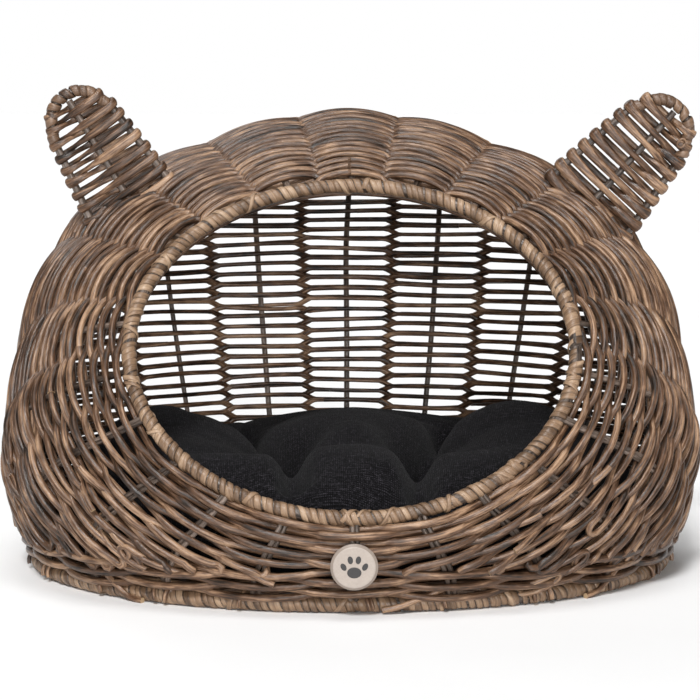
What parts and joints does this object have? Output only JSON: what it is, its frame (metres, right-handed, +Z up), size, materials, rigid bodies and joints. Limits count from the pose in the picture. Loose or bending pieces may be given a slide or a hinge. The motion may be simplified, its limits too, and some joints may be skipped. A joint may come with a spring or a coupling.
{
  "type": "wicker pet bed basket",
  "caption": "Domed willow cave bed on an oval base, with a leaning oval mouth, woven ears, a tufted dark cushion and a round metal badge.",
  "frame": {"origin": "on the surface it stands on, under the centre of the outer box of the whole basket", "axes": "+X to the right seen from the mouth, +Y towards the back, +Z up"},
  "size_m": [0.5196, 0.4629, 0.3568],
  "materials": {
    "stake": "dull grey-brown willow rod with bark",
    "willow": "grey-washed brown willow, satin",
    "cane": "split cane, light tan, satin",
    "cushion_fabric": "coarse charcoal woven fabric, matt",
    "wadding": "soft polyester wadding",
    "thread": "dark tufting thread",
    "badge": "greige enamel face with a dark rim, satin",
    "badge_metal": "plain steel"
  },
  "bodies": {
    "basket": {"base_hoop": "stake", "base_hoop_binding": "cane", "floor_weave": "willow", "floor_sticks": "stake", "mouth_hoop": "stake", "mouth_hoop_binding": "cane", "mouth_inner_hoop": "willow", "stakes_front": "stake", "stakes_left": "stake", "stakes_right": "stake", "stakes_back": "stake", "weave_front": "willow", "weave_left": "willow", "weave_right": "willow", "weave_roof": "willow", "weave_back": "willow", "ear_left_frame": "stake", "ear_left_spine": "stake", "ear_left_weaver": "willow", "ear_left_tip_binding": "cane", "ear_right_frame": "stake", "ear_right_spine": "stake", "ear_right_weaver": "willow", "ear_right_tip_binding": "cane", "badge_disc": "badge", "badge_prongs": "badge_metal", "badge_back_plate": "badge_metal"},
    "cushion": {"cushion_cover_top": "cushion_fabric", "cushion_cover_bottom": "cushion_fabric", "cushion_filling": "wadding", "cushion_tuft_ties": "thread"}
  },
  "joints": [
    {"name": "cushion_lift", "type": "slide", "parent": "basket", "child": "cushion", "axis": [0, 0, 1], "range_m": [0, 0.06]}
  ]
}
